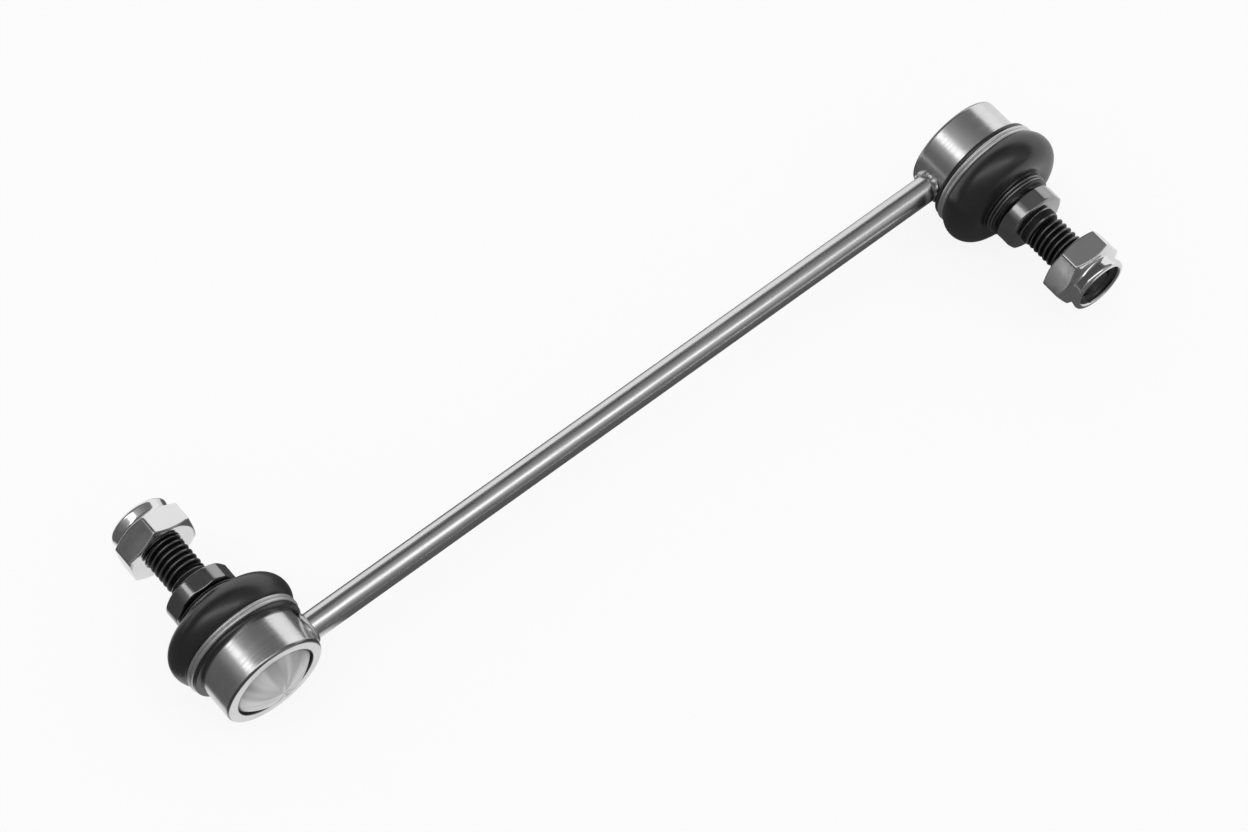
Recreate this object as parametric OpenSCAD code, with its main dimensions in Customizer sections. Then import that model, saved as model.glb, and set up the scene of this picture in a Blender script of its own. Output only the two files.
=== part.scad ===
// Stabilizer link: a round rod with a ball-joint housing welded on each end.
// Origin midway between the two ball centres, +X along the rod, +Z up.
// The stud of the right end (+X) points along -Y and that of the left end along +Y.
// Heights in the modules run along the stud, from the ball centre outwards.

/* [Link] */
// Distance between the two ball centres
centre_distance = 212.5; // [170:0.5:340]
// Diameter of the round rod
rod_d = 6.6; // [6:0.1:7.2]
// Height of the weld bead on the rod
weld_size = 0.9; // [0.5:0.1:1.4]

/* [Housing] */
// Outside diameter of the housing
housing_d = 25.9; // [25.4:0.1:27]
// Rim plane behind the ball centre
rim_drop = 6; // [5.8:0.1:6.4]
// Rounding of the rim's outer corner
rim_round = 0.8; // [0.3:0.1:1.1]
// Thickness of the rolled-over lip
lip_t = 1; // [0.8:0.1:1.2]
// Width of the rim face, from the outside to the opening
rim_width = 2.65; // [2.45:0.05:2.85]
// Depth of the step under the boot
land_step = 0.95; // [0.7:0.05:1]
// Top of the full-diameter wall
wall_top = 4.4; // [4.2:0.05:4.6]
// Top of the housing mouth
mouth_top = 8.2; // [7.8:0.1:8.4]
// Shoulder that holds the ball seat
seat_top = 3.6; // [3.4:0.1:3.8]

/* [End cap] */
// Room between the ball and the dome
dome_gap = 0.5; // [0.3:0.05:1.1]
// Wall of the dome
cap_t = 1.2; // [0.9:0.1:1.3]
// Thickness of the flange under the lip
flange_t = 1.1; // [0.8:0.1:1.3]

/* [Ball stud] */
// Wall of the plastic seat round the ball
seat_t = 2.87; // [2.77:0.05:3.07]
// Running clearance between ball and seat
ball_gap = 0.03; // [0.02:0.01:0.08]
// Neck diameter
neck_d = 9; // [8.4:0.1:9.2]
// Diameter of the boot seat on the stud
boot_seat_d = 12.8; // [12:0.1:13.4]
// Length of the boot seat under the collar
boot_seat_len = 5.6; // [5.2:0.1:5.8]
// Length of the flare from the neck to the boot seat
flare_len = 2.4; // [2:0.1:2.6]
// Underside of the hex collar
collar_low = 18.8; // [18.8:0.1:20]
// Thickness of the hex collar
collar_t = 4.8; // [4:0.1:6]
// Hex collar across flats
collar_af = 16; // [15:0.1:17]
// How far the collar's turned corners stand out beyond its flats
collar_corner = 0.35; // [0.2:0.05:0.6]
// Diameter of the plain land above the collar
shank_d = 10; // [9.8:0.1:10]
// Length of the plain land above the collar
land_len = 2.4; // [2:0.1:3]
// Mean diameter of the thread
thread_d = 9.2; // [9:0.1:9.4]
// Stud end from the ball centre
stud_end = 44.6; // [44:0.1:46]

/* [Boot] */
// Radius of the boot's round section
bulge_r = 5.1; // [4.9:0.1:5.2]
// How far the boot stands out past the housing
boot_reach = 3.15; // [2.95:0.05:3.55]
// Height of the widest place
bulge_h = 10.4; // [10.1:0.1:10.8]
// Rubber wall
boot_wall = 1.6; // [1.2:0.1:1.9]
// Lower edge of the boot lip
lip_low = 3.8; // [3.7:0.05:3.95]
// Rubber over the housing wall
lip_wall = 1.55; // [1.45:0.05:1.85]
// Neck lip diameter
neck_lip_d = 17.4; // [16.8:0.1:18]
// Gap between the boot's neck and the collar
collar_gap = 0.8; // [0.4:0.05:0.9]
// Running clearance at the boot's seats
boot_gap = 0.05; // [0.03:0.01:0.08]

/* [Rings] */
// Wire of the boot clamp
clamp_wire_d = 1; // [0.8:0.05:1.05]
// Middle of the boot clamp
clamp_h = 6; // [5.95:0.05:6.05]
// Wire of the neck ring
neck_wire_d = 0.9; // [0.7:0.05:0.95]
// Middle of the neck ring
neck_ring_h = 16.55; // [16.5:0.05:16.7]

/* [Lock nut] */
// Nut across flats
nut_af = 17; // [16.6:0.1:18]
// Bearing face of the right nut from its ball centre
nut_low = 35.8; // [34:0.1:36]
// Height of the whole nut
nut_t = 10.1; // [9.8:0.1:10.6]
// Running clearance on the thread
thread_gap = 0.05; // [0.03:0.01:0.08]
// Opening in the rolled end of the nut
nut_opening_d = 12; // [11.8:0.1:12.4]
// How much nearer its ball centre the left nut stands
left_nut_run = 0.7; // [0:0.1:1]
// Turn of the left nut
left_nut_turn = 22; // [0:1:60]
// Turn of the right nut
right_nut_turn = 2; // [0:1:60]
// Turn of the left collar
left_collar_turn = 58; // [0:1:60]
// Turn of the right collar
right_collar_turn = 4; // [0:1:60]

/* [Hidden] */
$fn = 96;
housing_r = housing_d / 2;
rod_r = rod_d / 2;
land_r = housing_r - land_step;
rim_r = housing_r - rim_width;
bore_r = rim_r + 0.1;
pocket_r = rim_r + 0.6;
cap_low = rim_drop - lip_t;
cap_high = cap_low - flange_t;
seat_r = bore_r - seat_t;
ball_r = seat_r - ball_gap;
dome_top = ball_r + dome_gap + cap_t;
dome_edge = rim_r - 0.05;
dome_rise = dome_top - cap_low;
dome_r = (dome_edge * dome_edge + dome_rise * dome_rise) / (2 * dome_rise);
dome_mid = dome_r - dome_top;
neck_r = neck_d / 2;
mouth_r = seat_r + 0.7;
mouth_top_r = mouth_r + 1.4;
boot_seat_r = boot_seat_d / 2;
boot_seat_low = collar_low - boot_seat_len;
collar_top = collar_low + collar_t;
shank_r = shank_d / 2;
thread_r = thread_d / 2;
land_top = collar_top + land_len;
lip_r = housing_r + lip_wall;
boot_r = housing_r + boot_reach;
bulge_mid = boot_r - bulge_r;
hollow_r = bulge_r - boot_wall;
clamp_r = clamp_wire_d / 2;
groove_r = lip_r - 0.6;
neck_lip_r = neck_lip_d / 2;
neck_top = collar_low - collar_gap;
neck_low = bulge_h + 2;
neck_wire_r = neck_wire_d / 2;
neck_groove_r = neck_lip_r - 0.8;
neck_groove_half = 2 * neck_wire_r + boot_gap;
nut_high = nut_low + nut_t;
nut_bore_r = thread_r + thread_gap;
hex_high = nut_high - 3.5;
roll_r = 0.8;
roll_mid = nut_opening_d / 2 + roll_r - 0.1;
waist_r = roll_mid + 0.45;
pocket_low = nut_high - 3.5;
pocket_high = nut_high - 1.2;
insert_pocket_r = nut_opening_d / 2 + 0.4;

// Places a piece drawn along +Z from the ball centre on the right end.
module at_right() {
    translate([centre_distance / 2, 0, 0])
        rotate([90, 0, 0])
            children();
}

// Places a piece drawn along +Z from the ball centre on the left end.
module at_left() {
    rotate([0, 0, 180])
        at_right()
            children();
}

module housing() {
    color("lightsteelblue")
        rotate_extrude()
            union() {
                polygon([
                    [rim_r, -rim_drop],
                    [housing_r - rim_round, -rim_drop],
                    [housing_r, rim_round - rim_drop],
                    [housing_r, wall_top],
                    [land_r, wall_top],
                    [land_r, mouth_top],
                    [mouth_top_r, mouth_top],
                    [mouth_r, seat_top],
                    [bore_r, seat_top],
                    [bore_r, -cap_high],
                    [pocket_r, -cap_high],
                    [pocket_r, -cap_low],
                    [rim_r, -cap_low]
                ]);
                translate([housing_r - rim_round, rim_round - rim_drop])
                    circle(r = rim_round);
            }
}

module weld() {
    color("slategray")
        difference() {
            rotate([0, -90, 0])
                rotate_extrude()
                    polygon([
                        [rod_r, housing_r - 1.6],
                        [rod_r + weld_size, housing_r - 1.6],
                        [rod_r + weld_size, housing_r + 0.15 * weld_size],
                        [rod_r + 0.72 * weld_size, housing_r + 0.7 * weld_size],
                        [rod_r + 0.3 * weld_size, housing_r + 1.1 * weld_size],
                        [rod_r, housing_r + 1.25 * weld_size]
                    ]);
            translate([0, 0, -20])
                cylinder(r = housing_r, h = 40);
            translate([-30, -10, lip_low - 0.2])
                cube([30, 20, 10]);
        }
}

module ball_seat() {
    color("ivory")
        rotate_extrude()
            difference() {
                polygon([
                    [2, -cap_high],
                    [bore_r, -cap_high],
                    [bore_r, seat_top],
                    [2, seat_top]
                ]);
                circle(r = seat_r);
            }
}

module end_cap() {
    color("gainsboro")
        rotate_extrude()
            difference() {
                union() {
                    intersection() {
                        translate([0, dome_mid])
                            circle(r = dome_r);
                        polygon([
                            [0, -cap_low],
                            [0, -dome_top - 1],
                            [dome_edge + 1, -dome_top - 1],
                            [dome_edge + 1, -cap_low]
                        ]);
                    }
                    polygon([
                        [0, -cap_low],
                        [pocket_r, -cap_low],
                        [pocket_r, -cap_high],
                        [0, -cap_high]
                    ]);
                }
                translate([0, dome_mid])
                    circle(r = dome_r - cap_t);
            }
}

module ball_stud(turn) {
    color("dimgray")
        union() {
            sphere(r = ball_r);
            rotate_extrude()
                polygon([
                    [0, 0],
                    [neck_r, 0],
                    [neck_r, boot_seat_low - flare_len],
                    [boot_seat_r, boot_seat_low],
                    [boot_seat_r, collar_low],
                    [0, collar_low]
                ]);
            intersection() {
                translate([0, 0, collar_low])
                    rotate([0, 0, turn])
                        cylinder(r = collar_af / sqrt(3), h = collar_t, $fn = 6);
                rotate_extrude()
                    polygon([
                        [0, collar_low],
                        [collar_af / 2 - 0.3, collar_low],
                        [collar_af / 2 + collar_corner, collar_low + 0.4],
                        [collar_af / 2 + collar_corner, collar_top - 0.5],
                        [collar_af / 2 - 0.5, collar_top],
                        [0, collar_top]
                    ]);
            }
            translate([0, 0, collar_low])
                cylinder(r = shank_r, h = land_top - collar_low);
            translate([0, 0, collar_low])
                cylinder(r = thread_r, h = stud_end - 1 - collar_low);
            translate([0, 0, stud_end - 1])
                cylinder(r1 = thread_r, r2 = thread_r - 1, h = 1);
        }
}

module boot() {
    color("darkslategray")
        rotate_extrude()
            difference() {
                union() {
                    translate([bulge_mid, bulge_h])
                        circle(r = bulge_r);
                    polygon([
                        [land_r + boot_gap, wall_top + boot_gap],
                        [housing_r + boot_gap, wall_top + boot_gap],
                        [housing_r + boot_gap, lip_low],
                        [lip_r - 0.3, lip_low],
                        [lip_r, lip_low + 0.3],
                        [lip_r, clamp_h - 2 * clamp_r - 0.05],
                        [groove_r, clamp_h - 2 * clamp_r],
                        [groove_r, bulge_h],
                        [land_r + boot_gap, bulge_h]
                    ]);
                    polygon([
                        [boot_seat_r + boot_gap, neck_low],
                        [neck_lip_r, neck_low],
                        [neck_lip_r, neck_top - 0.3],
                        [neck_lip_r - 0.3, neck_top],
                        [boot_seat_r + boot_gap, neck_top]
                    ]);
                }
                translate([bulge_mid, bulge_h])
                    circle(r = hollow_r);
                polygon([
                    [0, 0],
                    [land_r + boot_gap, 0],
                    [land_r + boot_gap, bulge_h],
                    [bulge_mid - 3.1, neck_low],
                    [0, neck_low]
                ]);
                polygon([
                    [0, neck_low - 1],
                    [boot_seat_r + boot_gap, neck_low - 1],
                    [boot_seat_r + boot_gap, neck_top + 1],
                    [0, neck_top + 1]
                ]);
                polygon([
                    [groove_r, clamp_h - 2 * clamp_r],
                    [boot_r, clamp_h - 2 * clamp_r],
                    [boot_r, clamp_h + 2 * clamp_r],
                    [groove_r, clamp_h + 2 * clamp_r]
                ]);
                polygon([
                    [neck_groove_r - boot_gap, neck_ring_h - neck_groove_half],
                    [neck_lip_r + 1, neck_ring_h - neck_groove_half],
                    [neck_lip_r + 1, neck_ring_h + neck_groove_half],
                    [neck_groove_r - boot_gap, neck_ring_h + neck_groove_half]
                ]);
            }
}

// Ring of two turns of wire, one on the other, round a groove.
module wire_ring(groove, height, wire_r) {
    rotate_extrude()
        for (turn = [-1, 1])
            translate([groove + wire_r, height + turn * 0.98 * wire_r])
                circle(r = wire_r);
}

module boot_clamp() {
    color("silver")
        wire_ring(groove_r, clamp_h, clamp_r);
}

module neck_ring() {
    color("silver")
        wire_ring(neck_groove_r, neck_ring_h, neck_wire_r);
}

module lock_nut(turn) {
    color("whitesmoke")
        difference() {
            union() {
                intersection() {
                    translate([0, 0, nut_low])
                        rotate([0, 0, turn])
                            cylinder(r = nut_af / sqrt(3), h = hex_high - nut_low, $fn = 6);
                    rotate_extrude()
                        polygon([
                            [0, nut_low],
                            [nut_af / 2 - 0.4, nut_low],
                            [nut_af / 2 + 1.6, nut_low + 0.9],
                            [nut_af / 2 + 1.6, hex_high - 1.15],
                            [nut_af / 2 - 0.4, hex_high],
                            [0, hex_high]
                        ]);
                }
                rotate_extrude()
                    union() {
                        polygon([
                            [1, hex_high - 1],
                            [nut_af / 2 - 0.7, hex_high - 1],
                            [nut_af / 2 - 0.7, hex_high],
                            [waist_r, hex_high + 0.4],
                            [waist_r, hex_high + 1],
                            [roll_mid + roll_r, nut_high - roll_r],
                            [1, nut_high - roll_r]
                        ]);
                        translate([roll_mid, nut_high - roll_r])
                            circle(r = roll_r);
                    }
            }
            rotate_extrude()
                polygon([
                    [0, nut_low - 1],
                    [nut_bore_r + 1.6, nut_low - 1],
                    [nut_bore_r, nut_low + 0.6],
                    [nut_bore_r, pocket_low],
                    [insert_pocket_r, pocket_low],
                    [insert_pocket_r, pocket_high],
                    [nut_opening_d / 2, pocket_high],
                    [nut_opening_d / 2, nut_high + 1],
                    [0, nut_high + 1]
                ]);
        }
}

module nut_insert() {
    color("black")
        rotate_extrude()
            polygon([
                [nut_bore_r, pocket_low + thread_gap],
                [insert_pocket_r - thread_gap, pocket_low + thread_gap],
                [insert_pocket_r - thread_gap, pocket_high - thread_gap],
                [nut_bore_r + 0.5, pocket_high - thread_gap],
                [nut_bore_r, pocket_high - thread_gap - 0.5]
            ]);
}

module run_on(way) {
    translate([0, 0, -way])
        children();
}

module rod() {
    color("lightgray")
        difference() {
            translate([-centre_distance / 2, 0, 0])
                rotate([0, 90, 0])
                    cylinder(r = rod_r, h = centre_distance);
            at_right()
                translate([0, 0, -20])
                    cylinder(r = housing_r, h = 40);
            at_left()
                translate([0, 0, -20])
                    cylinder(r = housing_r, h = 40);
        }
}

rod();
at_left() housing();  // left_housing
at_left() weld();  // left_weld
at_left() ball_seat();  // left_ball_seat
at_left() end_cap();  // left_end_cap
at_left() ball_stud(left_collar_turn);  // left_ball_stud
at_left() boot();  // left_boot
at_left() boot_clamp();  // left_boot_clamp
at_left() neck_ring();  // left_neck_ring
at_left() run_on(left_nut_run) lock_nut(left_nut_turn);  // left_lock_nut
at_left() run_on(left_nut_run) nut_insert();  // left_nut_insert
at_right() housing();  // right_housing
at_right() weld();  // right_weld
at_right() ball_seat();  // right_ball_seat
at_right() end_cap();  // right_end_cap
at_right() ball_stud(right_collar_turn);  // right_ball_stud
at_right() boot();  // right_boot
at_right() boot_clamp();  // right_boot_clamp
at_right() neck_ring();  // right_neck_ring
at_right() lock_nut(right_nut_turn);  // right_lock_nut
at_right() nut_insert();  // right_nut_insert
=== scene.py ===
import math

import bmesh
import bpy
from mathutils import Matrix, Vector, noise


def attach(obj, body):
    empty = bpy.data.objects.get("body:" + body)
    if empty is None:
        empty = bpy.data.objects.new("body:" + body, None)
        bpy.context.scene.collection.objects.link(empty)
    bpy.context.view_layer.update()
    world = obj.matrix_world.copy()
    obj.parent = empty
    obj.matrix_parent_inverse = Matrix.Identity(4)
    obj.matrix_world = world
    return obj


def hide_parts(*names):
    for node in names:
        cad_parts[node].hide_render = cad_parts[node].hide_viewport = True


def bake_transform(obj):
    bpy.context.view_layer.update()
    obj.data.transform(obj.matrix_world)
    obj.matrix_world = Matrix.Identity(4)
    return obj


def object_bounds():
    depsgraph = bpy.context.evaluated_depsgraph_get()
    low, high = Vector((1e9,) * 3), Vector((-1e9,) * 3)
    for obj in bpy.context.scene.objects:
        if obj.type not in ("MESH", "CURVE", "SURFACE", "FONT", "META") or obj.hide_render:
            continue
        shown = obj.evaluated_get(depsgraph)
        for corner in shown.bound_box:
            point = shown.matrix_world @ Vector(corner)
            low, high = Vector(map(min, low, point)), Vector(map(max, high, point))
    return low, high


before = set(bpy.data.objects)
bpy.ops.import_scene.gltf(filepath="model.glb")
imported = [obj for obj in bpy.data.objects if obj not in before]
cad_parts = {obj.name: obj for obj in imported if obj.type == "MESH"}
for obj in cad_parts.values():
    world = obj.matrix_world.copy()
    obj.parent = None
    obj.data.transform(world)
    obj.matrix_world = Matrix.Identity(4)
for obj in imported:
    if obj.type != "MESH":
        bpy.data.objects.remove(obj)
cad_low, cad_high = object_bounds()

# Rod: a straight length of drawn round steel bar, bright zinc plated.
# It is welded to the side of a housing at each end. Drawing leaves fine lines along it,
# and the plating is a little cloudy between them.


def new_finish(name):
    finish = bpy.data.materials.new(name)
    finish.use_nodes = True
    tree = finish.node_tree
    return finish, tree, tree.nodes["Principled BSDF"]


def new_marks_group(name, scales, marks):
    group = bpy.data.node_groups.new(name, "ShaderNodeTree")
    group.interface.new_socket(name="Vector", in_out="INPUT", socket_type="NodeSocketVector")
    for label in scales:
        group.interface.new_socket(name=label, in_out="INPUT", socket_type="NodeSocketFloat")
    for label in marks:
        group.interface.new_socket(name=label, in_out="OUTPUT", socket_type="NodeSocketFloat")
    return group, group.nodes.new("NodeGroupInput").outputs, group.nodes.new("NodeGroupOutput").inputs


def use_marks(tree, group, place, scales=()):
    node = tree.nodes.new("ShaderNodeGroup")
    node.node_tree = group
    tree.links.new(place, node.inputs["Vector"])
    for socket, scale in zip(node.inputs[1:], scales):
        socket.default_value = scale
    return node.outputs


def noise_marks(tree, place, scale, detail, rough):
    node = tree.nodes.new("ShaderNodeTexNoise")
    node.inputs["Detail"].default_value = detail
    node.inputs["Roughness"].default_value = rough
    tree.links.new(place, node.inputs["Vector"])
    tree.links.new(scale, node.inputs["Scale"])
    return node.outputs["Fac"]


def value_range(tree, source, low, high, to_low, to_high):
    node = tree.nodes.new("ShaderNodeMapRange")
    node.inputs["From Min"].default_value = low
    node.inputs["From Max"].default_value = high
    node.inputs["To Min"].default_value = to_low
    node.inputs["To Max"].default_value = to_high
    tree.links.new(source, node.inputs["Value"])
    return node.outputs["Result"]


def spread(tree, mark, to_low, to_high):
    # noise lies mostly between these two levels
    return value_range(tree, mark, 0.3, 0.7, to_low, to_high)


def grey(level):
    return (level, level, level, 1)


def mixed(tree, share, first, second, blend="MIX"):
    node = tree.nodes.new("ShaderNodeMix")
    node.data_type = "RGBA"
    node.blend_type = blend
    for label, value in (("Factor", share), ("A", first), ("B", second)):
        if isinstance(value, bpy.types.NodeSocket):
            tree.links.new(value, node.inputs[label])
        else:
            node.inputs[label].default_value = value
    return node.outputs["Result"]


def bump_from(tree, source, strength, depth):
    node = tree.nodes.new("ShaderNodeBump")
    node.inputs["Strength"].default_value = strength
    node.inputs["Distance"].default_value = depth
    tree.links.new(source, node.inputs["Height"])
    return node.outputs["Normal"]


def placed(tree, scale=(1, 1, 1), turn=(0, 0, 0)):
    coords = tree.nodes.new("ShaderNodeTexCoord")
    mapping = tree.nodes.new("ShaderNodeMapping")
    mapping.inputs["Scale"].default_value = scale
    mapping.inputs["Rotation"].default_value = turn
    tree.links.new(coords.outputs["Object"], mapping.inputs["Vector"])
    return mapping.outputs["Vector"]


def wire_up(tree, shader, colour, rough, normal):
    for label, source in (("Base Color", colour), ("Roughness", rough), ("Normal", normal)):
        tree.links.new(source, shader.inputs[label])


# fine grain and cloudy patches of a plated, forged or moulded skin
skin_marks, skin_in, skin_out = new_marks_group(
    "skin_marks",
    ("Grain Scale", "Cloud Scale"),
    ("Grain", "Clouds"),
)
grain = noise_marks(skin_marks, skin_in["Vector"], skin_in["Grain Scale"], detail=3, rough=0.6)
clouds = noise_marks(skin_marks, skin_in["Vector"], skin_in["Cloud Scale"], detail=4, rough=0.55)
skin_marks.links.new(grain, skin_out["Grain"])
skin_marks.links.new(clouds, skin_out["Clouds"])


def skin_finish(name, scales, dark, light, rough, bump, metallic=0, specular=0.5, stretch=(1, 1, 1)):
    finish, tree, shader = new_finish(name)
    marks = use_marks(tree, skin_marks, placed(tree, stretch), scales)
    rough_mark, smooth, dull = rough
    bump_mark, strength, depth = bump
    wire_up(
        tree,
        shader,
        mixed(tree, marks["Clouds"], dark, light),
        spread(tree, marks[rough_mark], smooth, dull),
        bump_from(tree, marks[bump_mark], strength, depth),
    )
    shader.inputs["Metallic"].default_value = metallic
    shader.inputs["Specular IOR Level"].default_value = specular
    return finish


def show_in(node_name, finish):
    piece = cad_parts[node_name]
    piece.data.materials.clear()
    piece.data.materials.append(finish)


drawn_zinc = skin_finish(
    "drawn_zinc",
    scales=(2600, 260),
    dark=grey(0.66),
    light=grey(0.82),
    rough=("Grain", 0.17, 0.29),
    bump=("Grain", 0.12, 0.00002),
    metallic=1,
    stretch=(0.04, 1, 1),
)
show_in("rod", drawn_zinc)

# Housings: short steel cups turned on a lathe and zinc plated, one across each end of the rod.
# The tool leaves rings round the wall and the rim, and the rim is rolled over the end cap.
MM = 0.001
HALF_SPAN = 106.25 * MM
RING_DRIFT, STREAK_DRIFT, AXIS_GAP = 0.02, 25, 0.0003
# distances from the stud's axis and from the rod, in metres, over which painted shade darkens the plating on
# the rim
RIM_GROOVE, RIM_CORNER, RIM_BACK = (0.01032, 0.0105), (0.01258, 0.01272), (0.0052, 0.0055)
GROOVE_PAINTED_SHADE, CORNER_PAINTED_SHADE = 0.3, 0.38


def maths(tree, operation, first, second=None):
    node = tree.nodes.new("ShaderNodeMath")
    node.operation = operation
    for socket, value in zip(node.inputs, (first, second)):
        if isinstance(value, (int, float)):
            socket.default_value = value
        elif value is not None:
            tree.links.new(value, socket)
    return node.outputs["Value"]


def parts_of(tree, vector):
    node = tree.nodes.new("ShaderNodeSeparateXYZ")
    tree.links.new(vector, node.inputs["Vector"])
    return node.outputs


def combined(tree, x, y, z):
    node = tree.nodes.new("ShaderNodeCombineXYZ")
    for socket, value in zip(node.inputs, (x, y, z)):
        tree.links.new(value, socket)
    return node.outputs["Vector"]


def dimmed(tree, colour, share):
    return mixed(tree, 1, colour, share, "MULTIPLY")


# rings left by a lathe tool round the stud's axis, and streaks that run out from that axis
turned_marks, turned_in, turned_out = new_marks_group(
    "turned_marks",
    ("Ring Scale", "Streak Scale"),
    ("Rings", "Streaks", "Radius", "Along"),
)
place = parts_of(turned_marks, turned_in["Vector"])
across = maths(turned_marks, "SUBTRACT", maths(turned_marks, "ABSOLUTE", place["X"]), HALF_SPAN)
across_squared = maths(turned_marks, "MULTIPLY", across, across)
up_squared = maths(turned_marks, "MULTIPLY", place["Z"], place["Z"])
radius = maths(turned_marks, "SQRT", maths(turned_marks, "ADD", across_squared, up_squared))
ring_drift = maths(turned_marks, "MULTIPLY", across, RING_DRIFT)
ring_place = combined(turned_marks, radius, place["Y"], ring_drift)
# the radius never reaches nought, so that the streaks can be divided by it
safe_radius = maths(turned_marks, "ADD", radius, AXIS_GAP)
streak_place = combined(
    turned_marks,
    maths(turned_marks, "DIVIDE", across, safe_radius),
    maths(turned_marks, "DIVIDE", place["Z"], safe_radius),
    maths(turned_marks, "MULTIPLY", radius, STREAK_DRIFT),
)
for label, source in (
    ("Rings", noise_marks(turned_marks, ring_place, turned_in["Ring Scale"], detail=2, rough=0.6)),
    ("Streaks", noise_marks(turned_marks, streak_place, turned_in["Streak Scale"], detail=1, rough=0.5)),
    ("Radius", radius),
    ("Along", maths(turned_marks, "ABSOLUTE", place["Y"])),
):
    turned_marks.links.new(source, turned_out[label])

turned_zinc, tree, shader = new_finish("turned_zinc")
place = placed(tree)
marks = use_marks(tree, skin_marks, place, (2200, 240))
rings = use_marks(tree, turned_marks, place, (2600,))
plating = mixed(tree, marks["Clouds"], grey(0.68), grey(0.84))
# painted shade: the plating colour is darkened in the groove inside the rolled rim and along the rim's outer
# corner
groove_shade = value_range(tree, rings["Radius"], *RIM_GROOVE, GROOVE_PAINTED_SHADE, 1)
corner_shade = maths(
    tree,
    "MAXIMUM",
    value_range(tree, rings["Radius"], *RIM_CORNER, 1, CORNER_PAINTED_SHADE),
    value_range(tree, rings["Along"], *RIM_BACK, 1, CORNER_PAINTED_SHADE),
)
wire_up(
    tree,
    shader,
    dimmed(tree, dimmed(tree, plating, corner_shade), groove_shade),
    spread(tree, rings["Rings"], 0.16, 0.27),
    bump_from(tree, rings["Rings"], strength=0.14, depth=0.00002),
)
shader.inputs["Metallic"].default_value = 1
for end in ("left", "right"):
    show_in(end + "_housing", turned_zinc)

# Welds: one bead runs round the rod where it meets each housing, laid by hand in short overlapping drops.
# It was plated over with the link, so it is the same grey metal, rougher and lumpy.
BEAD_HOUSING_R, BEAD_ROD_R, BEAD_TOP = 12.95, 3.3, 3.5
BEAD_INSIDE_R, BEAD_TOE, BEAD_ROOT, BEAD_ARC = BEAD_ROD_R - 0.3, 1.5, -0.6, -70
DROPS_ROUND, DROP_SPREAD, DROP_LIFT = 13, 0.16, 0.22
BEAD_STEPS = 120


def place_on_end(end):
    stand = Matrix.Translation((HALF_SPAN, 0, 0)) @ Matrix.Rotation(math.pi / 2, 4, "X") @ Matrix.Scale(MM, 4)
    return stand if end == "right" else Matrix.Rotation(math.pi, 4, "Z") @ stand


def trace(bm, points, vert=None):
    for r, h in points:
        if vert is None:
            vert = bm.verts.new((r, 0, h))
        else:
            vert = bmesh.ops.extrude_vert_indiv(bm, verts=[vert])["verts"][0]
            vert.co = (r, 0, h)
    return vert


def last_ring(spun):
    return [item for item in spun["geom_last"] if isinstance(item, bmesh.types.BMVert)]


def arc_round(bm, vert, r, h, degrees, steps):
    spun = bmesh.ops.spin(
        bm,
        geom=[vert],
        cent=(r, 0, h),
        axis=(0, -1, 0),
        angle=math.radians(degrees),
        steps=steps,
        use_duplicate=False,
    )
    return last_ring(spun)[0]


def turn_profile(bm, steps):
    wires = [edge for edge in bm.edges if not edge.link_faces]
    points = list(dict.fromkeys(vert for edge in wires for vert in edge.verts))
    bmesh.ops.spin(
        bm,
        geom=points + wires,
        cent=(0, 0, 0),
        axis=(0, 0, 1),
        angle=2 * math.pi,
        steps=steps,
        use_merge=True,
        use_duplicate=False,
    )


def turn_about_stud(bm, degrees, verts):
    turn = Matrix.Rotation(math.radians(degrees), 3, "Z")
    bmesh.ops.rotate(bm, cent=(0, 0, 0), matrix=turn, verts=verts)


def merge_doubles(bm):
    bmesh.ops.remove_doubles(bm, verts=bm.verts, dist=0.0005)


def close_shell(bm):
    merge_doubles(bm)
    bmesh.ops.recalc_face_normals(bm, faces=bm.faces)


def make_piece(name, bm, end, finishes, sharp):
    bmesh.ops.transform(bm, matrix=place_on_end(end), verts=bm.verts)
    mesh = bpy.data.meshes.new(name)
    bm.to_mesh(mesh)
    bm.free()
    mesh.shade_smooth()
    mesh.set_sharp_from_angle(angle=math.radians(sharp))
    for finish in finishes:
        mesh.materials.append(finish)
    piece = bpy.data.objects.new(name, mesh)
    bpy.context.scene.collection.objects.link(piece)
    return piece


weld_zinc = skin_finish(
    "weld_zinc",
    scales=(1800, 420),
    dark=grey(0.40),
    light=grey(0.74),
    rough=("Clouds", 0.2, 0.42),
    bump=("Grain", 0.35, 0.00012),
    metallic=1,
)

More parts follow.
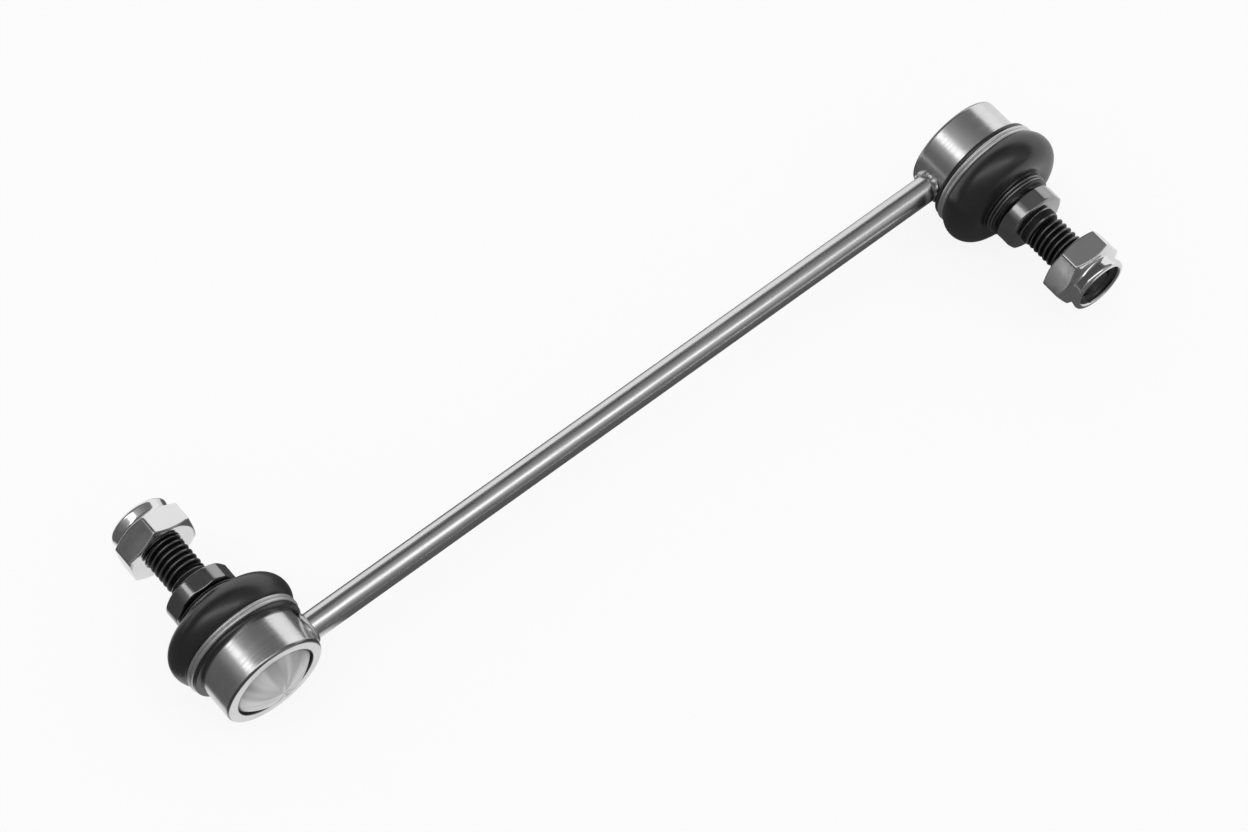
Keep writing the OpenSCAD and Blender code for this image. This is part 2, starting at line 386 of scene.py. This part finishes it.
for end, seed, lumps in (("left", 3.1, 0.2), ("right", 8.7, 1)):
    bm = bmesh.new()
    vert = trace(bm, [(BEAD_INSIDE_R, BEAD_TOE), (BEAD_ROD_R + 0.05, BEAD_TOE - 0.25)])
    vert = arc_round(bm, vert, BEAD_ROD_R - 0.15, 0.2, BEAD_ARC, steps=7)
    foot = [(BEAD_ROD_R + 0.85, BEAD_ROOT + 0.1), (BEAD_INSIDE_R, BEAD_ROOT), (BEAD_INSIDE_R, BEAD_TOE)]
    trace(bm, foot, vert)
    merge_doubles(bm)
    turn_profile(bm, BEAD_STEPS)
    close_shell(bm)
    for vert in bm.verts:
        across_r = math.hypot(vert.co.x, vert.co.y)
        angle = math.atan2(vert.co.y, vert.co.x)
        rough = noise.noise(Vector((vert.co.x * 0.9, vert.co.y * 0.9, seed)))
        drop = math.cos(angle * DROPS_ROUND + seed) * 0.5 + rough
        if across_r > BEAD_ROD_R + 0.1 and vert.co.z > -0.4:
            lift = 1 + lumps * DROP_SPREAD * drop / across_r
            vert.co.x *= lift
            vert.co.y *= lift
            vert.co.z += lumps * DROP_LIFT * drop
        # the bead stands along the rod, follows the round wall and stays under the boot's lip
        along, up, side = vert.co.z, vert.co.x, vert.co.y
        saddle = BEAD_HOUSING_R - math.sqrt(BEAD_HOUSING_R**2 - side**2)
        vert.co = (-(BEAD_HOUSING_R + along - saddle), side, min(up, BEAD_TOP))
    bmesh.ops.recalc_face_normals(bm, faces=bm.faces)
    bead = make_piece(end + "_weld_bead", bm, end, [weld_zinc], sharp=60)
    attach(bead, "link")
    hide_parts(end + "_weld")

# Ball seats: greasy plastic cups moulded round the ball, pressed into the housings before the cap goes on.
# Only a thin ring of each can be seen, down inside the housing's mouth.
seat_plastic = skin_finish(
    "seat_plastic",
    scales=(1400, 180),
    dark=(0.78, 0.76, 0.70, 1),
    light=(0.86, 0.85, 0.80, 1),
    rough=("Grain", 0.38, 0.5),
    bump=("Grain", 0.1, 0.00003),
)
for end in ("left", "right"):
    show_in(end + "_ball_seat", seat_plastic)

# Ball studs: one forging each, with the ball, a waisted neck, a seat for the boot, a hex collar and a thread.
# The collar keeps a dark forged steel skin on its flats; the rolled thread is blackened and oiled.
BALL_R, BALL_ARC = 7.5, 143.1
WAIST_R, WAIST_LOW, WAIST_TOP = 4.5, 6.6, 10.6
FLARE_FOOT, FLARE_HEAD = (4.8, 11.2), (6.1, 12.8)
BOOT_SEAT_R, BOOT_SEAT_LOW = 6.4, 13.5
COLLAR_LOW, COLLAR_TOP = 18.8, 23.6
COLLAR_FLATS, COLLAR_CORNER_R = 16, 8.35
COLLAR_UNDER_R, COLLAR_OVER_R = COLLAR_FLATS / 2 - 0.3, COLLAR_FLATS / 2 - 0.5
COLLAR_UNDER_SLOPE, COLLAR_OVER_SLOPE, COLLAR_EASE = 0.615, -0.588, 0.3
LAND_R, LAND_TOP = 5.0, 26.0
THREAD_CREST_R, THREAD_CORE_R, THREAD_PITCH = 4.95, 4.06, 1.5
THREAD_FLANK = ((3.9, 0.70), (THREAD_CREST_R - 0.16, 0.22), (THREAD_CREST_R - 0.04, 0.12))
THREAD_START, THREAD_END, STUD_END = LAND_TOP - 0.1, 43.3, 44.6
THREAD_STEPS, RUN_IN, RUN_OUT = 64, 1.1, 0.9
THREAD_SHADES = (0.0040, 0.0052)
ROUND_STEPS = 96


def edges_of(verts):
    return list(dict.fromkeys(edge for vert in verts for edge in vert.link_edges))


def hex_ring(bm, flats, round_r, height, slope, corner_r=None):
    made = bmesh.ops.create_circle(bm, cap_ends=False, segments=ROUND_STEPS, radius=1)["verts"]
    for vert in made:
        angle = math.degrees(math.atan2(vert.co.y, vert.co.x)) % 360
        step = angle % 60
        if corner_r:
            # a quarter of the steps go to each half of a turned corner, so a step falls where its flat begins
            corner = 30 - math.degrees(math.acos(flats / 2 / corner_r))
            moved = corner * step / 15 if step < 15 else corner + (step - 15) * (60 - 2 * corner) / 30
            moved = 60 - corner * (60 - step) / 15 if step > 45 else moved
            angle += moved - step
            step = moved
        reach = flats / 2 / math.cos(math.radians(step - 30))
        reach = min(reach, corner_r) if corner_r else reach
        turned = math.radians(angle)
        lifted = height + slope * max(0, reach - round_r)
        vert.co = (reach * math.cos(turned), reach * math.sin(turned), lifted)
    return edges_of(made)


def end_loop(bm, r, h):
    near = [v for v in bm.verts if abs(v.co.z - h) < 1e-4 and abs(math.hypot(v.co.x, v.co.y) - r) < 1e-3]
    return [e for e in bm.edges if e.verts[0] in near and e.verts[1] in near and len(e.link_faces) == 1]


def bridge_up(bm, loops):
    for lower, upper in zip(loops, loops[1:]):
        bmesh.ops.bridge_loops(bm, edges=lower + upper)


def ease_edges(bm, low, high, least, width):
    corners = [
        e
        for e in bm.edges
        if len(e.link_faces) == 2
        and e.calc_face_angle() > math.radians(least)
        and all(low < v.co.z < high for v in e.verts)
    ]
    bmesh.ops.bevel(
        bm,
        geom=corners,
        offset=width,
        offset_type="OFFSET",
        affect="EDGES",
        segments=2,
        profile=0.5,
        material=-1,
        clamp_overlap=True,
    )


def level_ramp(tree, source, stops):
    node = tree.nodes.new("ShaderNodeValToRGB")
    while len(node.color_ramp.elements) < len(stops):
        node.color_ramp.elements.new(0.5)
    for element, (place, level) in zip(node.color_ramp.elements, stops):
        element.position = place
        element.color = grey(level)
    tree.links.new(source, node.inputs["Fac"])
    return node.outputs["Color"]


forged_steel = skin_finish(
    "forged_steel",
    scales=(1700, 300),
    dark=(0.3, 0.3, 0.305, 1),
    light=(0.4, 0.4, 0.405, 1),
    rough=("Clouds", 0.12, 0.21),
    bump=("Clouds", 0.05, 0.00003),
    metallic=1,
)

black_thread, tree, shader = new_finish("black_thread")
place = placed(tree)
marks = use_marks(tree, skin_marks, place, (2400, 500))
rings = use_marks(tree, turned_marks, place)
# the crests are rubbed bright, the plain land less so, and the flanks and the end stay black
from_core = value_range(tree, rings["Radius"], *THREAD_SHADES, 0, 1)
rubbed = level_ramp(tree, from_core, [(0.55, 0), (0.77, 1), (0.80, 1), (0.82, 0.05)])
oxide = mixed(tree, rubbed, (0.005, 0.005, 0.0055, 1), grey(0.26))
patchy = mixed(tree, marks["Clouds"], grey(0.6), grey(1))
wire_up(
    tree,
    shader,
    dimmed(tree, oxide, patchy),
    value_range(tree, rubbed, 0, 1, 0.45, 0.15),
    bump_from(tree, marks["Grain"], strength=0.06, depth=0.00003),
)
tree.links.new(rubbed, shader.inputs["Metallic"])
shader.inputs["Specular IOR Level"].default_value = 0.12

for end, collar_turn in (("left", 58), ("right", 4)):
    bm = bmesh.new()
    vert = trace(bm, [(0, -BALL_R)])
    vert = arc_round(bm, vert, 0, 0, BALL_ARC, steps=30)
    below_collar = [
        (WAIST_R, WAIST_LOW),
        (WAIST_R, WAIST_TOP),
        FLARE_FOOT,
        FLARE_HEAD,
        (BOOT_SEAT_R, BOOT_SEAT_LOW),
        (BOOT_SEAT_R, COLLAR_LOW),
        (COLLAR_UNDER_R, COLLAR_LOW),
    ]
    trace(bm, below_collar, vert)
    above_collar = [
        (COLLAR_OVER_R, COLLAR_TOP),
        (LAND_R + 0.25, COLLAR_TOP),
        (LAND_R, COLLAR_TOP + 0.25),
        (LAND_R, LAND_TOP - 0.5),
        (LAND_R - 0.12, LAND_TOP - 0.2),
        (THREAD_CORE_R, LAND_TOP + 0.6),
        (THREAD_CORE_R, STUD_END - 0.7),
        (THREAD_CORE_R - 0.7, STUD_END),
        (0, STUD_END),
    ]
    trace(bm, above_collar)
    turn_profile(bm, ROUND_STEPS)
    merge_doubles(bm)
    under = end_loop(bm, COLLAR_UNDER_R, COLLAR_LOW)
    over = end_loop(bm, COLLAR_OVER_R, COLLAR_TOP)
    rings_up = [under]
    for height, slope, round_r in (
        (COLLAR_LOW, COLLAR_UNDER_SLOPE, COLLAR_UNDER_R),
        (COLLAR_LOW + COLLAR_EASE, COLLAR_UNDER_SLOPE, COLLAR_UNDER_R),
        (COLLAR_TOP - COLLAR_EASE, COLLAR_OVER_SLOPE, COLLAR_OVER_R),
        (COLLAR_TOP, COLLAR_OVER_SLOPE, COLLAR_OVER_R),
    ):
        rings_up.append(hex_ring(bm, COLLAR_FLATS, round_r, height, slope, COLLAR_CORNER_R))
    bridge_up(bm, rings_up + [over])
    bmesh.ops.recalc_face_normals(bm, faces=bm.faces)
    ease_edges(bm, COLLAR_LOW - 0.01, COLLAR_TOP + 0.01, least=12, width=0.12)
    turn_about_stud(bm, collar_turn, bm.verts)
    # the thread is one ridge wound round the core, run out at both ends
    steps = round((THREAD_END - THREAD_START) / THREAD_PITCH * THREAD_STEPS)
    lower_flank = [(r, -h) for r, h in THREAD_FLANK]
    section = []
    for r, h in lower_flank + [(THREAD_CREST_R, 0)] + list(reversed(THREAD_FLANK)):
        section.append(bm.verts.new((r, 0, THREAD_START + h)))
    profile_edges = [bm.edges.new((vert, section[i - 1])) for i, vert in enumerate(section)]
    before = set(bm.verts) - set(section)
    bm.faces.new(section)
    spun = bmesh.ops.spin(
        bm,
        geom=section + profile_edges,
        cent=(0, 0, 0),
        axis=(0, 0, 1),
        dvec=(0, 0, THREAD_PITCH / THREAD_STEPS),
        angle=2 * math.pi * steps / THREAD_STEPS,
        steps=steps,
        use_duplicate=False,
    )
    bmesh.ops.contextual_create(bm, geom=last_ring(spun))
    for vert in bm.verts:
        if vert in before:
            continue
        far = math.hypot(vert.co.x, vert.co.y)
        run_in = max(0, (vert.co.z - LAND_TOP + 0.3) / RUN_IN)
        run_out = min(1, run_in, max(0, (THREAD_END + 0.1 - vert.co.z) / RUN_OUT))
        if far > THREAD_CORE_R:
            new = THREAD_CORE_R - 0.1 + (far - THREAD_CORE_R + 0.1) * run_out
            vert.co.x *= new / far
            vert.co.y *= new / far
    bmesh.ops.recalc_face_normals(bm, faces=bm.faces)
    for face in bm.faces:
        if face.calc_center_median().z > COLLAR_TOP + 0.2:
            face.material_index = 1
    stud = make_piece(end + "_stud_forging", bm, end, [forged_steel, black_thread], sharp=38)
    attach(stud, end + "_stud_body")
    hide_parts(end + "_ball_stud")

# End caps: pressed steel domes that close the back of each housing under its rolled rim.
# The blank was turned before pressing, so a satin skin with soft streaks runs out from the middle.
CAP_SEAM, SEAM_PAINTED_SHADE = (0.0095, 0.0100), 0.22

satin_cap, tree, shader = new_finish("satin_cap")
rings = use_marks(tree, turned_marks, placed(tree), (1500, 2.2))
streak = value_range(tree, rings["Streaks"], 0.40, 0.60, 0, 1)
satin = mixed(tree, streak, grey(0.56), grey(0.86))
# painted shade: the satin colour is darkened in the seam between cap and rim
seam_shade = value_range(tree, rings["Radius"], *CAP_SEAM, 1, SEAM_PAINTED_SHADE)
wire_up(
    tree,
    shader,
    dimmed(tree, satin, seam_shade),
    spread(tree, rings["Streaks"], 0.50, 0.60),
    bump_from(tree, rings["Rings"], strength=0.12, depth=0.00003),
)
shader.inputs["Metallic"].default_value = 0.6
for end in ("left", "right"):
    show_in(end + "_end_cap", satin_cap)

# Boots: soft black rubber rolls, moulded with a thick lip for the housing and a tight one for the stud.
# They keep the grease in and bend when the stud tilts. The rubber is matt with a faint bloom.
LIP_R, LIP_INSIDE_R, LIP_LOW, LIP_STEP = 14.5, 13.0, 3.8, 4.46
GROOVE_R, GROOVE_LOW, GROOVE_TOP = 13.9, 5.0, 7.0
BULGE_R, BULGE_MID, BULGE_H = 5.1, 11.0, 10.4
BULGE_START, BULGE_ARC, HOLLOW_ARC = math.radians(38), 148, -213
HOLLOW_TOP_R, HOLLOW_TOP_H = 8.3, 12.62
NECK_LIP_R, NECK_GROOVE_R, NECK_GROOVE_LOW, NECK_GROOVE_TOP = 8.7, 7.86, 15.6, 17.5
GRIP_R, GRIP_LOW, BOOT_TOP = BOOT_SEAT_R + 0.08, 15.5, 18.0
BOOT_STEPS = 128

boot_rubber = skin_finish(
    "boot_rubber",
    scales=(1600, 110),
    dark=(0.008, 0.008, 0.0085, 1),
    light=(0.016, 0.016, 0.0165, 1),
    rough=("Clouds", 0.25, 0.37),
    bump=("Grain", 0.1, 0.00005),
    specular=0.8,
)

for end, way in (("left", 1), ("right", -1)):
    bm = bmesh.new()
    bulge_low = (BULGE_MID + BULGE_R * math.cos(BULGE_START), BULGE_H - BULGE_R * math.sin(BULGE_START))
    ring_groove = [
        (GROOVE_R, GROOVE_LOW),
        (GROOVE_R, GROOVE_TOP),
        (GROOVE_R + 0.7, GROOVE_TOP + 0.02),
        (GROOVE_R + 0.9, GROOVE_TOP + 0.08),
        bulge_low,
    ]
    vert = trace(bm, ring_groove)
    vert = arc_round(bm, vert, BULGE_MID, BULGE_H, BULGE_ARC, steps=36)
    # the small lip grips the stud under its ring and opens downwards, which leaves room for the tilt
    small_lip = [
        (NECK_LIP_R + 0.28, NECK_GROOVE_LOW - 0.5),
        (NECK_LIP_R + 0.08, NECK_GROOVE_LOW - 0.46),
        (NECK_LIP_R, NECK_GROOVE_LOW - 0.32),
        (NECK_LIP_R - 0.04, NECK_GROOVE_LOW - 0.08),
        (NECK_LIP_R - 0.14, NECK_GROOVE_LOW),
        (NECK_GROOVE_R, NECK_GROOVE_LOW),
        (NECK_GROOVE_R, NECK_GROOVE_TOP),
        (NECK_LIP_R - 0.16, NECK_GROOVE_TOP),
        (NECK_LIP_R - 0.04, NECK_GROOVE_TOP + 0.08),
        (NECK_LIP_R - 0.04, NECK_GROOVE_TOP + 0.26),
        (NECK_LIP_R - 0.3, BOOT_TOP),
        (GRIP_R, BOOT_TOP),
        (GRIP_R, GRIP_LOW),
        (HOLLOW_TOP_R, HOLLOW_TOP_H),
    ]
    vert = trace(bm, small_lip, vert)
    vert = arc_round(bm, vert, BULGE_MID, BULGE_H, HOLLOW_ARC, steps=32)
    thick_lip = [
        (LIP_INSIDE_R - 0.94, LIP_STEP),
        (LIP_INSIDE_R, LIP_STEP),
        (LIP_INSIDE_R, LIP_LOW),
        (LIP_R - 0.3, LIP_LOW),
        (LIP_R - 0.08, LIP_LOW + 0.1),
        (LIP_R, LIP_LOW + 0.3),
        (LIP_R, GROOVE_LOW - 0.3),
        (LIP_R - 0.1, GROOVE_LOW - 0.08),
        (GROOVE_R, GROOVE_LOW),
    ]
    trace(bm, thick_lip, vert)
    merge_doubles(bm)
    turn_profile(bm, BOOT_STEPS)
    close_shell(bm)
    boot = make_piece(end + "_dust_boot", bm, end, [boot_rubber], sharp=40)
    side = HALF_SPAN if end == "right" else -HALF_SPAN
    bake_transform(boot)
    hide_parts(end + "_boot")

# Boot clamps: two close turns of springy drawn wire snapped into the groove of each boot's lip.
# The turns lie side by side, cross over in a short step, and the cut ends are left blunt.
CLAMP_R, CLAMP_H, CLAMP_WIRE = 14.4, 6.0, 1.0
WIRE_LEAD, WIRE_STEPS, WIRE_TURNS = 6.0, 120, 1.97
CROSS_FROM, CROSS_SHARE, WIRE_CLOSE = 0.93, 0.14, 0.98

spring_wire = skin_finish(
    "spring_wire",
    scales=(2400, 320),
    dark=grey(0.66),
    light=grey(0.86),
    rough=("Grain", 0.38, 0.52),
    bump=("Grain", 0.15, 0.00003),
    metallic=1,
)


def wind_two_turns(bm, ring_r, middle, wire_d):
    wire = bmesh.ops.create_circle(bm, cap_ends=True, segments=14, radius=wire_d / 2)["verts"]
    bmesh.ops.rotate(bm, cent=(0, 0, 0), matrix=Matrix.Rotation(math.pi / 2, 3, "X"), verts=wire)
    bmesh.ops.translate(bm, vec=(ring_r, 0, 0), verts=wire)
    # the wire is wound up with a wide lead first, so that its two turns can be told apart
    spun = bmesh.ops.spin(
        bm,
        geom=wire + edges_of(wire),
        cent=(0, 0, 0),
        axis=(0, 0, 1),
        dvec=(0, 0, WIRE_LEAD / WIRE_STEPS),
        angle=2 * math.pi * WIRE_TURNS,
        steps=round(WIRE_TURNS * WIRE_STEPS),
        use_duplicate=False,
    )
    bmesh.ops.contextual_create(bm, geom=last_ring(spun))
    for vert in bm.verts:
        part_turn = math.atan2(vert.co.y, vert.co.x) % (2 * math.pi) / (2 * math.pi)
        wound = round(vert.co.z / WIRE_LEAD - part_turn) + part_turn
        step = min(1, max(0, (wound - CROSS_FROM) / CROSS_SHARE))
        beside = wire_d * WIRE_CLOSE * (step * step * (3 - 2 * step) - 0.5)
        vert.co.z += middle + beside - wound * WIRE_LEAD
    # the step where the wire crosses over lies underneath, away from the eye
    turn_about_stud(bm, 270, bm.verts)
    bmesh.ops.recalc_face_normals(bm, faces=bm.faces)


for end in ("left", "right"):
    bm = bmesh.new()
    wind_two_turns(bm, CLAMP_R, CLAMP_H, CLAMP_WIRE)
    clamp = make_piece(end + "_clamp_wire", bm, end, [spring_wire], sharp=50)
    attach(clamp, end + "_boot_body")
    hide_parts(end + "_boot_clamp")

# Neck rings: two turns of thinner wire in the groove of each boot's small lip, which hold it on the stud.
# They sit in the shade of the hex collar, and that shade is painted into the wire as a darker grey than the
# clamp wire.
NECK_RING_R, NECK_RING_H, NECK_WIRE = 8.35, 16.55, 0.9

# painted shade: a darker grey than the clamp wire, for the shade under the collar
shade_painted_wire = skin_finish(
    "shade_painted_wire",
    scales=(2400, 320),
    dark=grey(0.16),
    light=grey(0.34),
    rough=("Grain", 0.3, 0.44),
    bump=("Grain", 0.15, 0.00003),
    metallic=1,
)

for end in ("left", "right"):
    bm = bmesh.new()
    wind_two_turns(bm, NECK_RING_R, NECK_RING_H, NECK_WIRE)
    neck_wire = make_piece(end + "_neck_wire", bm, end, [shade_painted_wire], sharp=50)
    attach(neck_wire, end + "_neck_body")
    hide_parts(end + "_neck_ring")

# Nut inserts: dark nylon rings held under each nut's rolled end, moulded, with a waxy skin.
# They grip the thread, so that the nut can't shake loose.
dark_nylon = skin_finish(
    "dark_nylon",
    scales=(1500, 260),
    dark=(0.012, 0.012, 0.013, 1),
    light=(0.026, 0.026, 0.028, 1),
    rough=("Grain", 0.5, 0.66),
    bump=("Grain", 0.1, 0.00004),
)
for end in ("left", "right"):
    show_in(end + "_nut_insert", dark_nylon)

# Lock nuts: hexagon nuts pressed from steel and zinc plated to a mirror, with a waist and a rolled end.
# The end is rolled over the insert, and the plating barrel has eased the corners.
NUT_FLATS, NUT_FACE_R = 17, 8.1
NUT_LOW, NUT_SHOULDER, NUT_END = 35.8, 42.4, 45.9
NUT_UNDER_SLOPE, NUT_OVER_SLOPE, NUT_EASE = 0.45, -0.575, 0.35
NUT_BORE_R, NUT_WAIST_R, NUT_OPENING_R = 4.65, 7.15, 6.0
ROLL_R, ROLL_MID, ROLL_ARC = 0.8, 6.7, 151
POCKET_LOW, POCKET_HIGH, POCKET_R = 42.4, 44.7, 6.4

mirror_zinc, tree, shader = new_finish("mirror_zinc")
marks = use_marks(tree, skin_marks, placed(tree, turn=(0.4, 0.9, 0.3)), (1500, 260))
rings = use_marks(tree, turned_marks, placed(tree), (1800,))
wire_up(
    tree,
    shader,
    mixed(tree, marks["Clouds"], grey(0.74), grey(0.88)),
    spread(tree, marks["Clouds"], 0.08, 0.16),
    bump_from(tree, rings["Rings"], strength=0.05, depth=0.00002),
)
shader.inputs["Metallic"].default_value = 1

for end, nut_turn, run_on in (("left", 22, 0.7), ("right", 2, 0)):
    bm = bmesh.new()
    waist = [
        (NUT_FACE_R, NUT_SHOULDER),
        (NUT_FLATS / 2 - 0.7, NUT_SHOULDER),
        (NUT_WAIST_R + 0.1, NUT_SHOULDER + 0.34),
        (NUT_WAIST_R + 0.02, NUT_SHOULDER + 0.46),
        (NUT_WAIST_R, NUT_SHOULDER + 0.65),
        (NUT_WAIST_R, NUT_SHOULDER + 0.9),
        (NUT_WAIST_R + 0.03, NUT_SHOULDER + 1.15),
        (ROLL_MID + ROLL_R - 0.03, NUT_END - ROLL_R - 0.25),
        (ROLL_MID + ROLL_R, NUT_END - ROLL_R),
    ]
    vert = trace(bm, waist)
    vert = arc_round(bm, vert, ROLL_MID, NUT_END - ROLL_R, ROLL_ARC, steps=16)
    inside = [
        (NUT_OPENING_R, POCKET_HIGH),
        (POCKET_R, POCKET_HIGH),
        (POCKET_R, POCKET_LOW),
        (NUT_BORE_R, POCKET_LOW),
        (NUT_BORE_R, NUT_LOW + 0.6),
        (NUT_BORE_R + 0.6, NUT_LOW),
        (NUT_FACE_R, NUT_LOW),
    ]
    trace(bm, inside, vert)
    turn_profile(bm, ROUND_STEPS)
    merge_doubles(bm)
    under = end_loop(bm, NUT_FACE_R, NUT_LOW)
    over = end_loop(bm, NUT_FACE_R, NUT_SHOULDER)
    rings_up = [under]
    for height, slope in (
        (NUT_LOW, NUT_UNDER_SLOPE),
        (NUT_LOW + NUT_EASE, NUT_UNDER_SLOPE),
        (NUT_SHOULDER - NUT_EASE, NUT_OVER_SLOPE),
        (NUT_SHOULDER, NUT_OVER_SLOPE),
    ):
        rings_up.append(hex_ring(bm, NUT_FLATS, NUT_FACE_R, height, slope))
    bridge_up(bm, rings_up + [over])
    bmesh.ops.recalc_face_normals(bm, faces=bm.faces)
    ease_edges(bm, NUT_LOW - 0.01, NUT_SHOULDER + 0.01, least=15, width=0.14)
    turn_about_stud(bm, nut_turn, bm.verts)
    bmesh.ops.translate(bm, vec=(0, 0, -run_on), verts=bm.verts)
    nut = make_piece(end + "_nut_body", bm, end, [mirror_zinc], sharp=30)
    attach(nut, end + "_nut_body")
    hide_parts(end + "_lock_nut")

# Stage: a pale floor that the link lies on, a long soft lamp overhead and a white sweep behind the table.
# Bright metal also sees the dim ceiling beside the lamp, and a shade painted on the floor under and before the
# rod, which only its reflections show.
FLOOR_Z = cad_low.z
TOWARDS_CAMERA = (-0.694, -0.720, 0.0)
# levels the floor glows with for bright metal: white, and the painted shade
FLOOR_WHITE, FLOOR_PAINTED_SHADE = 0.82, 0.08
FLOOR_CLEAR, FLOOR_MIRRORED = 0.88, 0.95
CEILING_DIM, ROOM_LEVEL, LAMP_END = 0.08, 0.74, (0.35, 0.41)
# where the painted shade on the floor fades, in metres: past the right ball, round the left one and behind the
# rod
SHADE_RIGHT, SHADE_ROUND_LEFT = (0.112, 0.120), (0.020, 0.026)
SHADE_BEHIND, BEHIND_SLANT, SHADE_FAR_LEFT = (0.045, 0.055), 0.2, (-0.15, -0.14)
LEFT_NARROWS, LEFT_NARROWER = (0.010, 0.020), 0.007

floor_bm = bmesh.new()
bmesh.ops.create_grid(floor_bm, x_segments=2, y_segments=2, size=8)
bmesh.ops.translate(floor_bm, vec=(0, 0, FLOOR_Z), verts=floor_bm.verts)
floor_mesh = bpy.data.meshes.new("floor")
floor_bm.to_mesh(floor_mesh)
floor_bm.free()
floor = bpy.data.objects.new("floor", floor_mesh)
bpy.context.scene.collection.objects.link(floor)
pale_floor, tree, shader = new_finish("pale_floor")
shader.inputs["Base Color"].default_value = grey(0.86)
shader.inputs["Roughness"].default_value = 0.9
shader.inputs["Specular IOR Level"].default_value = 0
place = parts_of(tree, placed(tree))
from_left = maths(tree, "ABSOLUTE", maths(tree, "ADD", place["X"], HALF_SPAN))
round_left = maths(tree, "ADD", from_left, value_range(tree, place["Y"], *LEFT_NARROWS, 0, LEFT_NARROWER))
behind = maths(tree, "ADD", place["Y"], maths(tree, "MULTIPLY", place["X"], BEHIND_SLANT))
between_balls = maths(
    tree,
    "MULTIPLY",
    value_range(tree, place["X"], *SHADE_RIGHT, 1, 0),
    value_range(tree, round_left, *SHADE_ROUND_LEFT, 0, 1),
)
before_rod = maths(
    tree,
    "MAXIMUM",
    value_range(tree, behind, *SHADE_BEHIND, 1, 0),
    value_range(tree, place["X"], *SHADE_FAR_LEFT, 1, 0),
)
painted_shade = maths(tree, "MULTIPLY", between_balls, before_rod)
# the floor glows white in reflections, with a painted shade under and before the rod
glow = tree.nodes.new("ShaderNodeEmission")
glow.inputs["Color"].default_value = grey(1)
tree.links.new(value_range(tree, painted_shade, 0, 1, FLOOR_WHITE, FLOOR_PAINTED_SHADE), glow.inputs["Strength"])


def mixed_shader(tree, share, first, second):
    node = tree.nodes.new("ShaderNodeMixShader")
    for socket, source in zip(node.inputs, (share, first, second)):
        tree.links.new(source, socket)
    return node.outputs["Shader"]


path = tree.nodes.new("ShaderNodeLightPath")
to_metal = maths(tree, "MULTIPLY", path.outputs["Is Glossy Ray"], FLOOR_MIRRORED)
mirrored = mixed_shader(tree, to_metal, shader.outputs["BSDF"], glow.outputs["Emission"])
# most of the floor is clear to the camera, and all of it from below, so a stud tilted through it stays in view
clear = tree.nodes.new("ShaderNodeBsdfTransparent")
facing = tree.nodes.new("ShaderNodeNewGeometry")
to_camera = maths(tree, "MULTIPLY", path.outputs["Is Camera Ray"], FLOOR_CLEAR)
see_through = maths(tree, "MAXIMUM", to_camera, facing.outputs["Backfacing"])
seen = mixed_shader(tree, see_through, mirrored, clear.outputs["BSDF"])
tree.links.new(seen, tree.nodes["Material Output"].inputs["Surface"])
floor_mesh.materials.append(pale_floor)

lamp = bpy.data.lights.new("strip_lamp", "AREA")
lamp.shape = "RECTANGLE"
lamp.size = 4.9
lamp.size_y = 0.8
lamp.energy = 14.8
lamp_object = bpy.data.objects.new("strip_lamp", lamp)
bpy.context.scene.collection.objects.link(lamp_object)
lamp_place = Vector((-0.264, -0.444, 2.462))
lamp_way = Vector((-0.238, -0.057, 0.970)).normalized()
lamp_short = lamp_way.cross(Vector((0.75, -0.661, 0))).normalized()
lamp_long = lamp_short.cross(lamp_way)
lamp_turn = Matrix((lamp_long, lamp_short, lamp_way)).transposed().to_4x4()
lamp_object.matrix_world = Matrix.Translation(lamp_place) @ lamp_turn

world = bpy.data.worlds.new("studio")
bpy.context.scene.world = world
world.use_nodes = True
tree = world.node_tree
coords = tree.nodes.new("ShaderNodeTexCoord")
sky = parts_of(tree, coords.outputs["Generated"])
toward = tree.nodes.new("ShaderNodeVectorMath")
toward.operation = "DOT_PRODUCT"
toward.inputs[1].default_value = TOWARDS_CAMERA
tree.links.new(coords.outputs["Generated"], toward.inputs[0])
lean = maths(tree, "ARCTAN2", toward.outputs["Value"], sky["Z"])
lean_share = maths(tree, "ADD", maths(tree, "DIVIDE", lean, 2 * math.pi), 0.5)
# brightness of the room by the angle from straight up, in degrees towards the camera
sweep = [(-180, 0.5), (-92, 0.95), (-57.5, 0.95)]
by_lamp = [
    (-53.5, 0.17),
    (-34, 0.17),
    (-20, 0.22),
    (-6, 0.36),
    (8, 0.5),
    (26, 0.45),
    (38, 0.26),
    (52, 0.17),
    (90, 0.12),
]
past_lamp = [(-53.5, CEILING_DIM), (90, CEILING_DIM)]
ceilings = []
for ceiling in (by_lamp, past_lamp):
    levels = [(degrees / 360 + 0.5, level) for degrees, level in sweep + ceiling]
    ceilings.append(level_ramp(tree, lean_share, levels))
room = mixed(tree, value_range(tree, sky["Y"], *LAMP_END, 0, 1), *ceilings)
path = tree.nodes.new("ShaderNodeLightPath")
plain = mixed(tree, path.outputs["Is Glossy Ray"], grey(ROOM_LEVEL), room)
seen = mixed(tree, path.outputs["Is Camera Ray"], plain, grey(1))
tree.links.new(seen, tree.nodes["Background"].inputs["Color"])

# Camera: a long lens high over the left end of the link, a little in front of it.
# It is turned so that the link runs across the picture from the lower left to the upper right.
camera = bpy.data.cameras.new("camera")
camera.lens = 105.845
camera.sensor_width = 36
camera.clip_start = 0.01
camera_object = bpy.data.objects.new("camera", camera)
bpy.context.scene.collection.objects.link(camera_object)
camera_object.location = (-0.285317, -0.294729, 0.737604)
camera_object.rotation_euler = [math.radians(a) for a in (28.741, -2.2535, -39.8466)]
bpy.context.scene.camera = camera_object
bpy.context.scene.view_settings.view_transform = "Standard"
